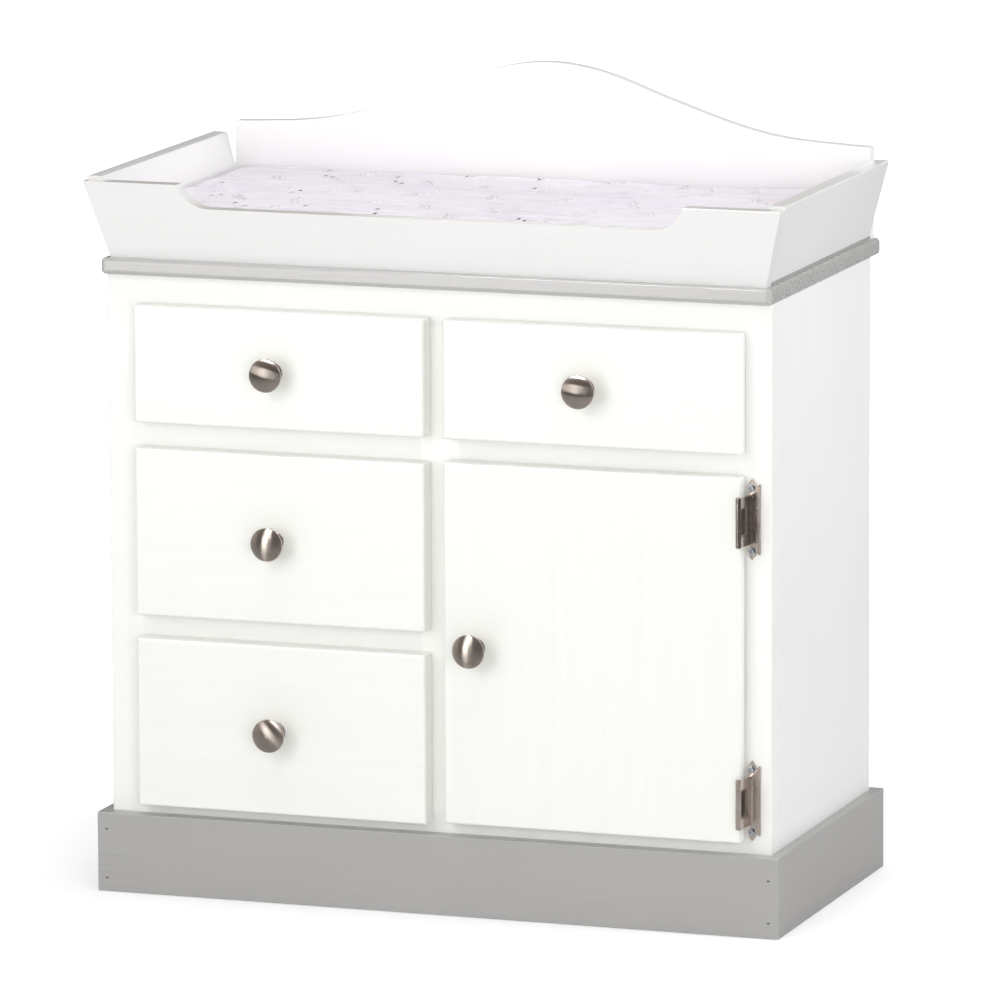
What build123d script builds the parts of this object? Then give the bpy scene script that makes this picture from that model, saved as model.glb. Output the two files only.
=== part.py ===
from build123d import *
import os

os.makedirs("parts", exist_ok=True)

# ---------------------------------------------------------------------------
# Child-size changing table: a painted cabinet with four drawers and one door,
# under a flared tray with an arched back board and a loose pad.
#
# X runs to the right seen from the front, Y from the front (-) to the back (+),
# Z up.  The origin is on the floor, under the middle of the whole object.
# All sizes are in millimetres.
# ---------------------------------------------------------------------------

# Board stock
BOARD = 19.05            # three-quarter inch boards
PANEL = 12.7             # arched back board
PLY = 6.35               # cabinet back
SKIN = 3.2               # tray floor and drawer bottoms

# Plinth
PLINTH_HALF_W = 338.75
PLINTH_FRONT = -155.7
PLINTH_BACK = 178.8
PLINTH_H = 76.2

# Cabinet
CAB_HALF_W = 327.7
FRAME_FRONT = -142.15                    # front of the face frame
FRAME_BACK = FRAME_FRONT + BOARD
CAB_BACK = 168.35
CAB_TOP = 591.6
SIDE_IN = CAB_HALF_W - BOARD             # inner face of a side panel
FLOOR_TOP = PLINTH_H + BOARD

# Openings in the face frame
L_OPEN = (-284.6, -14.95)
R_OPEN = (23.15, 293.0)
Z_LOW = (96.0, 238.6)
Z_MID = (279.3, 420.0)
Z_TOP = (463.4, 555.8)
Z_DOOR = (96.0, 422.4)

# Centre partition
PART_L, PART_R = -5.4, 13.65

# Overlay drawer fronts and door
FRONT_BACK = FRAME_FRONT - 0.6
FRONT_FACE = FRONT_BACK - BOARD
FRONT_ROUND = 2.6
L_COL = (-294.0, -5.1)
R_COL = (13.4, 302.2)
DOOR_T = 17.8
DOOR_BACK = FRONT_FACE + DOOR_T
DOOR_Z = (89.3, 431.9)

# Drawer boxes
BOX_T = 9.5
BOX_DEPTH = 279.0
BOX_REAR = FRONT_BACK + BOX_DEPTH
GROOVE = 4.0
GROOVE_Z = 6.0
RUNNER_END = 150.35

# Knobs, one and a quarter inch across
KNOB_R = 15.875
KNOB_OUT = 27.25
KNOB_DX = -5.0           # the knobs sit a little left of the middle
KNOB_DZ = -1.5
DOOR_KNOB_X = R_COL[0] + 31.4
DOOR_KNOB_Z = 258.4

# Top board
TOP_HALF_W = 330.1
TOP_FRONT = -152.85
TOP_T = 15.8
TOP_Z = CAB_TOP + TOP_T
TOP_ROUND = 4.2

# Tray
BACK_FACE = 176.35       # front face of the arched back board
BACK_REAR = BACK_FACE + PANEL
BACK_X = (-319.5, 324.5)   # the arched board sits a little to the right
ARCH_X = 3.5
FLOOR_HALF_W = 324.6
TRAY_Z = 681.0           # top of the front board
END_Z = 684.2            # top of the end boards, the same stock on the thin floor
LEAN = 0.26795           # tan of 15 degrees
TRAY_T = 15.5            # level thickness of a leaning board
TRAY_FRONT_LOW = -144.65
TRAY_SIDE_LOW = 323.7
FLOOR2_Z = TOP_Z + SKIN
DIP_HALF = 218.5
DIP_R = 31.5
DIP_DEPTH = 22.5
SHOULDER_Z = 695.6

# Hinges
AXIS_X = 303.2
AXIS_Y = -166.55
KNUCKLE_R = 2.75
KNUCKLE_HALF = 23.0
MID_HALF = 13.35
PIN_R = 1.3
HINGE_Z = (126.8, 391.2)
HINGE_SCREW_X = 308.6
HINGE_SCREW_DZ = 29.4
DOOR_SCREW_X = 277.0


def at_y(y):
    """Sketch plane facing the front at depth y; local axes are X and Z."""
    return Plane.XZ.offset(-y)


def at_x(x):
    """Sketch plane facing right at x; local axes are Y and Z."""
    return Plane.YZ.offset(x)


def span(a0, a1, b0, b1, mode=Mode.ADD):
    """Rectangle between two opposite corners in the active sketch."""
    with Locations(((a0 + a1) / 2, (b0 + b1) / 2)):
        Rectangle(a1 - a0, b1 - b0, mode=mode)


def keep(part, name):
    part.part.label = name
    export_step(part.part, f"parts/{name}.step")


# ------------------------------------------------------------------ plinth
# The front board covers the ends of the side boards; small brads fix it.
BRADS = [(-329.2, 60.1), (-329.2, 12.8), (328.8, 54.5), (328.8, 14.4)]

with BuildPart() as plinth_front_board:
    with BuildSketch(at_y(PLINTH_FRONT + BOARD)):
        span(-PLINTH_HALF_W, PLINTH_HALF_W, 0, PLINTH_H)
    extrude(amount=BOARD)
    outer = plinth_front_board.faces().sort_by(Axis.Y)[0]
    fillet(outer.edges().filter_by(Axis.X).sort_by(Axis.Z)[-1], 1.2)
    fillet(plinth_front_board.edges().filter_by(Axis.Z).group_by(Axis.Y)[0], 1.2)
    with BuildSketch(at_y(PLINTH_FRONT)):
        with Locations(*BRADS):
            Rectangle(2.6, 1.4)
    extrude(amount=-BOARD, mode=Mode.SUBTRACT)
keep(plinth_front_board, "plinth_front_board")

for side, name in ((-1, "plinth_left_board"), (1, "plinth_right_board")):
    with BuildPart() as plinth_side:
        with BuildSketch(at_x(side * PLINTH_HALF_W - (BOARD if side > 0 else 0))):
            span(PLINTH_FRONT + BOARD, PLINTH_BACK, 0, PLINTH_H)
        extrude(amount=BOARD)
        fillet(plinth_side.edges().filter_by(Axis.Y).group_by(Axis.Z)[-1]
               .sort_by(Axis.X)[0 if side < 0 else -1], 1.2)
        with BuildSketch(at_y(PLINTH_FRONT + BOARD)):
            with Locations(*[b for b in BRADS if b[0] * side > 0]):
                Rectangle(2.6, 1.4)
        extrude(amount=-14.0, mode=Mode.SUBTRACT)
    keep(plinth_side, name)

with BuildPart() as plinth_back_board:
    with BuildSketch(at_y(PLINTH_BACK)):
        span(-PLINTH_HALF_W + BOARD, PLINTH_HALF_W - BOARD, 0, PLINTH_H)
    extrude(amount=BOARD)
keep(plinth_back_board, "plinth_back_board")

with BuildPart() as plinth_brads:
    with BuildSketch(at_y(PLINTH_FRONT + 0.4)):
        with Locations(*BRADS):
            Rectangle(2.4, 1.2)
    extrude(amount=-32.0)
keep(plinth_brads, "plinth_brads")

# ----------------------------------------------------------------- cabinet
for side, name in ((-1, "left_side_panel"), (1, "right_side_panel")):
    with BuildPart() as side_panel:
        with BuildSketch(at_x(side * CAB_HALF_W - (BOARD if side > 0 else 0))):
            span(FRAME_BACK, CAB_BACK, PLINTH_H, CAB_TOP)
        extrude(amount=BOARD)
        # the front outer arris is eased, so the joint to the frame shows
        fillet(side_panel.edges().filter_by(Axis.Z).group_by(Axis.Y)[0]
               .sort_by(Axis.X)[0 if side < 0 else -1], 0.7)
        fillet(side_panel.edges().filter_by(Axis.Z).group_by(Axis.Y)[-1]
               .sort_by(Axis.X)[0 if side < 0 else -1], 1.2)
    keep(side_panel, name)

with BuildPart() as bottom_panel:
    with BuildSketch(Plane.XY.offset(PLINTH_H)):
        span(-SIDE_IN, SIDE_IN, FRAME_BACK, CAB_BACK - PLY)
    extrude(amount=BOARD)
keep(bottom_panel, "bottom_panel")

with BuildPart() as cabinet_back_panel:
    with BuildSketch(at_y(CAB_BACK)):
        span(-SIDE_IN, SIDE_IN, PLINTH_H, CAB_TOP)
    extrude(amount=PLY)
keep(cabinet_back_panel, "cabinet_back_panel")

with BuildPart() as centre_partition:
    with BuildSketch(at_x(PART_L)):
        span(FRAME_BACK, CAB_BACK - PLY, FLOOR_TOP, CAB_TOP)
    extrude(amount=PART_R - PART_L)
keep(centre_partition, "centre_partition")

# Face frame: stiles and rails, butt jointed
with BuildPart() as left_stile:
    with BuildSketch(at_y(FRAME_BACK)):
        span(-CAB_HALF_W, L_OPEN[0], PLINTH_H, CAB_TOP)
    extrude(amount=BOARD)
    fillet(left_stile.edges().filter_by(Axis.Z).group_by(Axis.X)[0].sort_by(Axis.Y)[0], 1.6)
    fillet(left_stile.edges().filter_by(Axis.Z).group_by(Axis.X)[0].sort_by(Axis.Y)[-1], 0.7)
keep(left_stile, "left_stile")

HINGE_HOLES = [(HINGE_SCREW_X, hz + s * HINGE_SCREW_DZ) for hz in HINGE_Z for s in (-1, 1)]

with BuildPart() as right_stile:
    with BuildSketch(at_y(FRAME_BACK)):
        span(R_OPEN[1], CAB_HALF_W, PLINTH_H, CAB_TOP)
    extrude(amount=BOARD)
    fillet(right_stile.edges().filter_by(Axis.Z).group_by(Axis.X)[-1].sort_by(Axis.Y)[0], 1.6)
    fillet(right_stile.edges().filter_by(Axis.Z).group_by(Axis.X)[-1].sort_by(Axis.Y)[-1], 0.7)
    with BuildSketch(at_y(FRAME_FRONT)):
        with Locations(*HINGE_HOLES):
            Circle(1.6)
    extrude(amount=-15.0, mode=Mode.SUBTRACT)
keep(right_stile, "right_stile")

with BuildPart() as centre_stile:
    with BuildSketch(at_y(FRAME_BACK)):
        span(L_OPEN[1], R_OPEN[0], Z_LOW[0], Z_TOP[1])
    extrude(amount=BOARD)
keep(centre_stile, "centre_stile")

with BuildPart() as top_rail:
    with BuildSketch(at_y(FRAME_BACK)):
        span(L_OPEN[0], R_OPEN[1], Z_TOP[1], CAB_TOP)
    extrude(amount=BOARD)
keep(top_rail, "top_rail")

with BuildPart() as bottom_rail:
    with BuildSketch(at_y(FRAME_BACK)):
        span(L_OPEN[0], R_OPEN[1], PLINTH_H, Z_LOW[0])
    extrude(amount=BOARD)
keep(bottom_rail, "bottom_rail")

with BuildPart() as upper_left_rail:
    with BuildSketch(at_y(FRAME_BACK)):
        span(*L_OPEN, Z_MID[1], Z_TOP[0])
    extrude(amount=BOARD)
keep(upper_left_rail, "upper_left_rail")

with BuildPart() as lower_left_rail:
    with BuildSketch(at_y(FRAME_BACK)):
        span(*L_OPEN, Z_LOW[1], Z_MID[0])
    extrude(amount=BOARD)
keep(lower_left_rail, "lower_left_rail")

with BuildPart() as right_rail:
    with BuildSketch(at_y(FRAME_BACK)):
        span(*R_OPEN, Z_DOOR[1], Z_TOP[0])
    extrude(amount=BOARD)
keep(right_rail, "right_rail")

# --------------------------------------------------------------- top board
with BuildPart() as top_board:
    with BuildSketch(Plane.XY.offset(CAB_TOP)):
        span(-TOP_HALF_W, TOP_HALF_W, TOP_FRONT, BACK_REAR)
    extrude(amount=TOP_T)
    fillet(top_board.edges().filter_by(Axis.Z).group_by(Axis.Y)[0], 5.0)
    fillet(top_board.faces().sort_by(Axis.Z)[-1].edges().sort_by(Axis.Y)[:-1], TOP_ROUND)
    fillet(top_board.faces().sort_by(Axis.Z)[0].edges().sort_by(Axis.Y)[:-1], TOP_ROUND)
keep(top_board, "top_board")

# --------------------------------------------------------------------- tray
TRAY_H = TRAY_Z - TOP_Z
TRAY_LEAN = TRAY_H * LEAN                       # run of the front board
SIDE_TOP = TRAY_SIDE_LOW + (END_Z - FLOOR2_Z) * LEAN        # outer top edge of an end board
FRONT_TOP = TRAY_SIDE_LOW + (TRAY_Z - FLOOR2_Z) * LEAN      # top corner of the front board
INNER_LOW = TRAY_FRONT_LOW + TRAY_T             # inner face of the front board, at its foot
INNER_TOP = INNER_LOW - TRAY_LEAN


def inner_front(z):
    """Depth of the front board's inner face at height z."""
    return INNER_LOW - (z - TOP_Z) * LEAN


with BuildPart() as tray_bottom:
    with BuildSketch(Plane.XY.offset(TOP_Z)):
        span(-FLOOR_HALF_W, FLOOR_HALF_W, INNER_LOW + 0.1, BACK_FACE)
    extrude(amount=SKIN)
keep(tray_bottom, "tray_bottom")

with BuildPart() as tray_front:
    # leaning board: level at its foot and its top
    with BuildSketch(at_x(-SIDE_TOP - 5)):
        with BuildLine():
            Polyline((TRAY_FRONT_LOW, TOP_Z), (INNER_LOW, TOP_Z), (INNER_TOP, TRAY_Z),
                     (TRAY_FRONT_LOW - TRAY_LEAN, TRAY_Z), close=True)
        make_face()
    extrude(amount=2 * SIDE_TOP + 10)
    # outline seen from the front: flared ends and a shallow dip with round corners
    side_foot = TRAY_SIDE_LOW - SKIN * LEAN
    with BuildSketch(at_y(-260)):
        with BuildLine():
            Polyline((-side_foot, TOP_Z), (-FRONT_TOP, TRAY_Z), (FRONT_TOP, TRAY_Z),
                     (side_foot, TOP_Z), close=True)
        make_face()
        span(-DIP_HALF, DIP_HALF, TRAY_Z - DIP_DEPTH, TRAY_Z + 20, mode=Mode.SUBTRACT)
        with Locations((-DIP_HALF, TRAY_Z - DIP_DEPTH + DIP_R), (DIP_HALF, TRAY_Z - DIP_DEPTH + DIP_R)):
            Circle(DIP_R, mode=Mode.SUBTRACT)
    extrude(amount=-260, mode=Mode.INTERSECT)
    fillet(tray_front.faces().sort_by(Axis.Y)[0].edges(), 1.0)
keep(tray_front, "tray_front")

for side, name in ((-1, "tray_left_end"), (1, "tray_right_end")):
    with BuildPart() as tray_end:
        with BuildSketch(at_y(BACK_FACE)):
            with BuildLine():
                Polyline((side * (TRAY_SIDE_LOW - TRAY_T), FLOOR2_Z), (side * TRAY_SIDE_LOW, FLOOR2_Z),
                         (side * SIDE_TOP, END_Z), (side * (SIDE_TOP - TRAY_T), END_Z), close=True)
            make_face()
        extrude(amount=BACK_FACE + 200)
        # the front end is cut to the slope of the front board
        with BuildSketch(at_x(-400)):
            with BuildLine():
                Polyline((inner_front(FLOOR2_Z), FLOOR2_Z), (BACK_FACE, FLOOR2_Z),
                         (BACK_FACE, END_Z), (inner_front(END_Z), END_Z), close=True)
            make_face()
        extrude(amount=800, mode=Mode.INTERSECT)
        fillet(tray_end.edges().filter_by(Axis.Y).group_by(Axis.Z)[-1], 1.2)
    keep(tray_end, name)

# Arched back board
ARCH = [(-296, 0.9), (-239, 5.0), (-184, 17.0), (-126, 36.2), (-106, 43.2), (-68, 57.3), (-43, 64.0),
        (0, 69.0),
        (43, 64.0), (68, 57.3), (106, 43.2), (126, 36.2), (184, 17.0), (239, 5.0), (296, 0.9)]
with BuildPart() as tray_back:
    with BuildSketch(at_y(BACK_REAR)):
        with BuildLine():
            s0 = (BACK_X[0], SHOULDER_Z)
            s1 = (BACK_X[1], SHOULDER_Z)
            Spline(s0, *[(ARCH_X + x, SHOULDER_Z + h) for x, h in ARCH], s1, tangents=((1, 0), (1, 0)))
            Polyline(s1, (BACK_X[1], TOP_Z), (BACK_X[0], TOP_Z), s0)
        make_face()
    extrude(amount=PANEL)
    fillet(tray_back.edges().filter_by(Axis.Y).group_by(Axis.Z)[-1], 2.0)
keep(tray_back, "tray_back")

# Loose foam pad that fills the tray floor
PAD_Z0, PAD_Z1 = FLOOR2_Z + 0.4, 655.0


def pad_bounds(z):
    half = TRAY_SIDE_LOW - TRAY_T + (z - FLOOR2_Z) * LEAN - 1.2
    return half, inner_front(z) + 1.2, BACK_FACE - 1.0


with BuildPart() as changing_pad:
    for z in (PAD_Z0, PAD_Z1):
        half, y0, y1 = pad_bounds(z)
        with BuildSketch(Plane.XY.offset(z)):
            with Locations((0, (y0 + y1) / 2)):
                RectangleRounded(2 * half, y1 - y0, 14)
    loft(ruled=True)
    chamfer(changing_pad.faces().sort_by(Axis.Z)[-1].edges(), 6.0)
keep(changing_pad, "changing_pad")

# ------------------------------------------------------------------ drawers
DRAWERS = [
    # name, column, frame opening in X, opening in Z, front in Z, box in Z
    ("upper_left_drawer", L_COL, L_OPEN, Z_TOP, (453.7, 565.4), (465.4, 545.4)),
    ("middle_left_drawer", L_COL, L_OPEN, Z_MID, (269.8, 429.5), (281.3, 408.3)),
    ("lower_left_drawer", L_COL, L_OPEN, Z_LOW, (86.6, 248.1), (100.0, 227.0)),
    ("upper_right_drawer", R_COL, R_OPEN, Z_TOP, (453.7, 565.4), (465.4, 545.4)),
]

KNOB_PROFILE_FOOT = [(9.6, 0.0), (9.6, 1.3)]
KNOB_BORE_R, KNOB_BORE_L = 2.05, 10.0
RIM_R, RIM_OUT = 15.45, 21.35            # where the domed face starts
DOME_R = (RIM_R ** 2 + (KNOB_OUT - RIM_OUT) ** 2) / (2 * (KNOB_OUT - RIM_OUT))
DOME_MID_R = 8.27
DOME_MID_OUT = KNOB_OUT - DOME_R + (DOME_R ** 2 - DOME_MID_R ** 2) ** 0.5


def knob_solid(x, y, z):
    """Mushroom knob turned about an axis towards the front, standing on the face at depth y."""
    with BuildPart() as knob:
        # section in the plane x = const: local axes are Y and Z
        with BuildSketch(at_x(x)):
            with BuildLine():
                Polyline((y, z), (y, z + 9.6), (y - 1.3, z + 9.6))
                Spline((y - 1.3, z + 9.6), (y - 3.4, z + 7.6), (y - 8.0, z + 6.1), (y - 13.0, z + 7.4),
                       (y - 17.2, z + 13.2), tangents=((-0.35, -1), (-0.5, 1)))
                Spline((y - 17.2, z + 13.2), (y - 18.7, z + 15.3), (y - 19.9, z + KNOB_R), (y - RIM_OUT, z + RIM_R),
                       tangents=((-0.5, 1), (-1, -0.9)))
                # the face is an even dome
                ThreePointArc((y - RIM_OUT, z + RIM_R), (y - DOME_MID_OUT, z + DOME_MID_R), (y - KNOB_OUT, z))
                Line((y - KNOB_OUT, z), (y, z))
            make_face()
        revolve(axis=Axis((x, y, z), (0, 1, 0)))
        with BuildSketch(at_y(y)):
            with Locations((x, z)):
                Circle(KNOB_BORE_R)
        extrude(amount=KNOB_BORE_L, mode=Mode.SUBTRACT)
    return knob


runner_blocks = []

for key, col, opening, z_open, z_front, z_box in DRAWERS:
    bx0, bx1 = opening[0] + 3.0, opening[1] - 3.0
    bz0, bz1 = z_box
    kx = (col[0] + col[1]) / 2 + KNOB_DX
    kz = (z_front[0] + z_front[1]) / 2 + KNOB_DZ
    mid_x = (bx0 + bx1) / 2
    fix = [(mid_x - 92, (bz0 + bz1) / 2), (mid_x + 92, (bz0 + bz1) / 2)]
    end_in = FRONT_BACK + BOX_T
    rear_in = BOX_REAR - BOX_T

    with BuildPart() as drawer_front:
        with BuildSketch(at_y(FRONT_BACK)):
            span(*col, *z_front)
        extrude(amount=BOARD)
        fillet(drawer_front.edges().filter_by(Axis.Y), 1.0)
        fillet(drawer_front.faces().sort_by(Axis.Y)[0].edges(), FRONT_ROUND)
        with BuildSketch(at_y(FRONT_BACK)):
            with Locations((kx, kz)):
                Circle(2.1)
        extrude(amount=BOARD, mode=Mode.SUBTRACT)
        with BuildSketch(at_y(FRONT_BACK)):
            with Locations(*fix):
                Circle(2.0)
        extrude(amount=12.5, mode=Mode.SUBTRACT)
    keep(drawer_front, key + "_front")

    with BuildPart() as box_sides:
        with BuildSketch(Plane.XY.offset(bz0)):
            span(bx0, bx0 + BOX_T, FRONT_BACK, BOX_REAR)
            span(bx1 - BOX_T, bx1, FRONT_BACK, BOX_REAR)
        extrude(amount=bz1 - bz0)
        with BuildSketch(Plane.XY.offset(bz0 + GROOVE_Z)):
            span(bx0 + BOX_T - GROOVE, bx1 - BOX_T + GROOVE, end_in - GROOVE, rear_in + GROOVE)
        extrude(amount=SKIN + 0.1, mode=Mode.SUBTRACT)
    keep(box_sides, key + "_box_sides")

    with BuildPart() as box_ends:
        with BuildSketch(Plane.XY.offset(bz0)):
            span(bx0 + BOX_T, bx1 - BOX_T, FRONT_BACK, end_in)
            span(bx0 + BOX_T, bx1 - BOX_T, rear_in, BOX_REAR)
        extrude(amount=bz1 - bz0)
        with BuildSketch(Plane.XY.offset(bz0 + GROOVE_Z)):
            span(bx0 + BOX_T, bx1 - BOX_T, end_in - GROOVE, rear_in + GROOVE)
        extrude(amount=SKIN + 0.1, mode=Mode.SUBTRACT)
        with BuildSketch(at_y(FRONT_BACK)):
            with Locations((kx, kz)):
                Circle(2.1)
            with Locations(*fix):
                Circle(2.0)
        extrude(amount=-BOX_T, mode=Mode.SUBTRACT)
    keep(box_ends, key + "_box_ends")

    with BuildPart() as box_bottom:
        with BuildSketch(Plane.XY.offset(bz0 + GROOVE_Z + 0.05)):
            span(bx0 + BOX_T - GROOVE + 0.1, bx1 - BOX_T + GROOVE - 0.1,
                 end_in - GROOVE + 0.1, rear_in + GROOVE - 0.1)
        extrude(amount=SKIN)
    keep(box_bottom, key + "_box_bottom")

    knob = knob_solid(kx, FRONT_FACE, kz)
    keep(knob, key + "_knob")

    # one machine screw for the knob, two wood screws for the front
    with BuildPart() as drawer_screws:
        with BuildSketch(at_y(end_in)):
            with Locations((kx, kz)):
                Circle(4.1)
        extrude(amount=-2.4)
        with BuildSketch(at_y(end_in)):
            with Locations((kx, kz)):
                Circle(2.0)
        extrude(amount=BOX_T + BOARD + KNOB_BORE_L - 1.0)
        with BuildSketch(at_y(end_in)):
            with Locations(*fix):
                Circle(3.5)
        extrude(amount=-2.0)
        with BuildSketch(at_y(end_in)):
            with Locations(*fix):
                Circle(1.9)
        extrude(amount=BOX_T + 12.0)
    keep(drawer_screws, key + "_screws")

    # L-section runners, one on each wall of the bay
    wall_l = -SIDE_IN if opening is L_OPEN else PART_R
    wall_r = PART_L if opening is L_OPEN else SIDE_IN
    low = max(bz0 - 12.4, FLOOR_TOP)
    runner_blocks.append((wall_l, bx0 + 14.0, bx0 - 0.8, wall_r, bx1 - 14.0, bx1 + 0.8, low, bz0 - 0.4, bz0 + 18.0))

with BuildPart() as drawer_runners:
    for wl, ledge_l, guide_l, wr, ledge_r, guide_r, low, ledge_z, guide_z in runner_blocks:
        with BuildSketch(at_y(FRAME_BACK)):
            with BuildLine():
                Polyline((wl, low), (ledge_l, low), (ledge_l, ledge_z), (guide_l, ledge_z),
                         (guide_l, guide_z), (wl, guide_z), close=True)
            make_face()
            with BuildLine():
                Polyline((wr, low), (ledge_r, low), (ledge_r, ledge_z), (guide_r, ledge_z),
                         (guide_r, guide_z), (wr, guide_z), close=True)
            make_face()
        extrude(amount=-(RUNNER_END - FRAME_BACK))
keep(drawer_runners, "drawer_runners")

# --------------------------------------------------------------------- door
DOOR_SCREWS = [(DOOR_SCREW_X, hz + s * 9.0) for hz in HINGE_Z for s in (-1, 1)]

with BuildPart() as door_panel:
    with BuildSketch(at_y(DOOR_BACK)):
        span(*R_COL, *DOOR_Z)
    extrude(amount=DOOR_T)
    fillet(door_panel.edges().filter_by(Axis.Y), 1.0)
    fillet(door_panel.faces().sort_by(Axis.Y)[0].edges(), FRONT_ROUND)
    with BuildSketch(at_y(DOOR_BACK)):
        with Locations((DOOR_KNOB_X, DOOR_KNOB_Z)):
            Circle(2.1)
    extrude(amount=DOOR_T, mode=Mode.SUBTRACT)
    with BuildSketch(at_y(DOOR_BACK)):
        with Locations(*DOOR_SCREWS):
            Circle(1.6)
    extrude(amount=12.5, mode=Mode.SUBTRACT)
keep(door_panel, "door_panel")

door_knob = knob_solid(DOOR_KNOB_X, FRONT_FACE, DOOR_KNOB_Z)
keep(door_knob, "door_knob")

with BuildPart() as door_knob_screw:
    with BuildSketch(at_y(DOOR_BACK)):
        with Locations((DOOR_KNOB_X, DOOR_KNOB_Z)):
            Circle(4.1)
    extrude(amount=-2.4)
    with BuildSketch(at_y(DOOR_BACK)):
        with Locations((DOOR_KNOB_X, DOOR_KNOB_Z)):
            Circle(2.0)
    extrude(amount=DOOR_T + KNOB_BORE_L - 1.0)
keep(door_knob_screw, "door_knob_screw")

# ------------------------------------------------------------------- hinges
# Each frame leaf is a plate on the stile with a pointed lobe at each screw,
# a raised bead, and two arms that carry the outer knuckles in front of the
# door's corner.  Each door leaf carries the middle knuckle and wraps round
# the door's edge to a tab on its back.
PLATE_T = 1.4
PLATE_FRONT = FRAME_FRONT - PLATE_T
LOBE = [(306.0, 23.0), (303.9, 26.5), (303.6, 30.2), (305.6, 34.3), (309.4, 38.3), (312.4, 34.2),
        (314.2, 31.0), (316.4, 33.4), (317.4, 32.2)]

for hz, name in ((HINGE_Z[1], "upper_hinge"), (HINGE_Z[0], "lower_hinge")):
    with BuildPart() as frame_leaf:
        with BuildSketch(at_y(FRAME_FRONT)):
            with BuildLine():
                up = [(x, hz + dz) for x, dz in LOBE]
                down = [(x, hz - dz) for x, dz in reversed(LOBE)]
                Polyline(*up, *down, close=True)
            make_face()
        extrude(amount=PLATE_T)
        # raised bead along the plate
        with BuildSketch(Plane.XY.offset(hz - 21.0)):
            with Locations((308.6, PLATE_FRONT + 0.4)):
                Circle(1.9)
            span(300, 320, FRAME_FRONT - 0.5, -130, mode=Mode.SUBTRACT)
        extrude(amount=42.0)
        # arms and outer knuckles
        with BuildSketch(Plane.XY.offset(hz - KNUCKLE_HALF)):
            with BuildLine():
                Polyline((AXIS_X + 0.6, AXIS_Y + 1.0), (AXIS_X + 2.0, AXIS_Y + 1.0), (308.2, PLATE_FRONT),
                         (308.2, FRAME_FRONT), (306.0, FRAME_FRONT), (306.0, PLATE_FRONT - 1.6), close=True)
            make_face()
            with Locations((AXIS_X, AXIS_Y)):
                Circle(KNUCKLE_R)
                Circle(PIN_R + 0.05, mode=Mode.SUBTRACT)
        extrude(amount=2 * KNUCKLE_HALF)
        # the middle stays free for the door leaf's knuckle
        with BuildSketch(Plane.XY.offset(hz - MID_HALF)):
            span(298, 305.9, AXIS_Y - 4, PLATE_FRONT - 3.0)
            span(298, 309.9, AXIS_Y - 4, PLATE_FRONT - 6.0)
        extrude(amount=2 * MID_HALF, mode=Mode.SUBTRACT)
        # screw holes
        with BuildSketch(at_y(FRAME_FRONT)):
            with Locations(*[h for h in HINGE_HOLES if abs(h[1] - hz) < 40]):
                Circle(1.7)
        extrude(amount=8.0, mode=Mode.SUBTRACT)
    keep(frame_leaf, name + "_frame_leaf")

    with BuildPart() as door_leaf:
        half = MID_HALF - 0.15
        with BuildSketch(Plane.XY.offset(hz - half)):
            with Locations((AXIS_X, AXIS_Y)):
                Circle(KNUCKLE_R)
            span(R_COL[1], R_COL[1] + 0.8, AXIS_Y + 1.0, DOOR_BACK + 1.2)
            with Locations((AXIS_X, AXIS_Y)):
                Circle(PIN_R + 0.05, mode=Mode.SUBTRACT)
        extrude(amount=2 * half)
        with BuildSketch(Plane.XY.offset(hz - 16.0)):
            span(DOOR_SCREW_X - 7.0, R_COL[1] - 0.05, DOOR_BACK, DOOR_BACK + 1.2)
        extrude(amount=32.0)
        with BuildSketch(Plane.XY.offset(hz - half)):
            span(R_COL[1] - 1.0, R_COL[1] + 0.8, DOOR_BACK, DOOR_BACK + 1.2)
        extrude(amount=2 * half)
        with BuildSketch(at_y(DOOR_BACK + 2.0)):
            with Locations(*[h for h in DOOR_SCREWS if abs(h[1] - hz) < 40]):
                Circle(1.7)
        extrude(amount=4.0, mode=Mode.SUBTRACT)
    keep(door_leaf, name + "_door_leaf")

with BuildPart() as hinge_pins:
    for hz in HINGE_Z:
        with BuildSketch(Plane.XY.offset(hz - KNUCKLE_HALF)):
            with Locations((AXIS_X, AXIS_Y)):
                Circle(PIN_R)
        extrude(amount=2 * KNUCKLE_HALF)
        with BuildSketch(Plane.XY.offset(hz + KNUCKLE_HALF)):
            with Locations((AXIS_X, AXIS_Y)):
                Circle(2.1)
        extrude(amount=0.9)
keep(hinge_pins, "hinge_pins")


# Pan-head screws with a cross recess
with BuildPart() as hinge_frame_screws:
    with BuildSketch(at_y(PLATE_FRONT)):
        with Locations(*HINGE_HOLES):
            Circle(3.45)
    extrude(amount=1.8)
    fillet(hinge_frame_screws.faces().group_by(Axis.Y)[0].edges(), 1.1)
    with BuildSketch(at_y(PLATE_FRONT)):
        with Locations(*HINGE_HOLES):
            Circle(1.5)
    extrude(amount=-15.0)
    with BuildSketch(at_y(PLATE_FRONT - 0.3)):
        with Locations(*HINGE_HOLES):
            Rectangle(4.3, 1.15)
            Rectangle(1.15, 4.3)
            Circle(0.95)
    extrude(amount=3.0, mode=Mode.SUBTRACT)
keep(hinge_frame_screws, "hinge_frame_screws")

with BuildPart() as hinge_door_screws:
    with BuildSketch(at_y(DOOR_BACK + 1.2)):
        with Locations(*DOOR_SCREWS):
            Circle(3.2)
    extrude(amount=-1.6)
    with BuildSketch(at_y(DOOR_BACK + 1.2)):
        with Locations(*DOOR_SCREWS):
            Circle(1.5)
    extrude(amount=13.0)
keep(hinge_door_screws, "hinge_door_screws")
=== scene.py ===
import bpy, bmesh, math, random
import numpy as np
from mathutils import Vector, Matrix, noise
from mathutils.bvhtree import BVHTree


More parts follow.
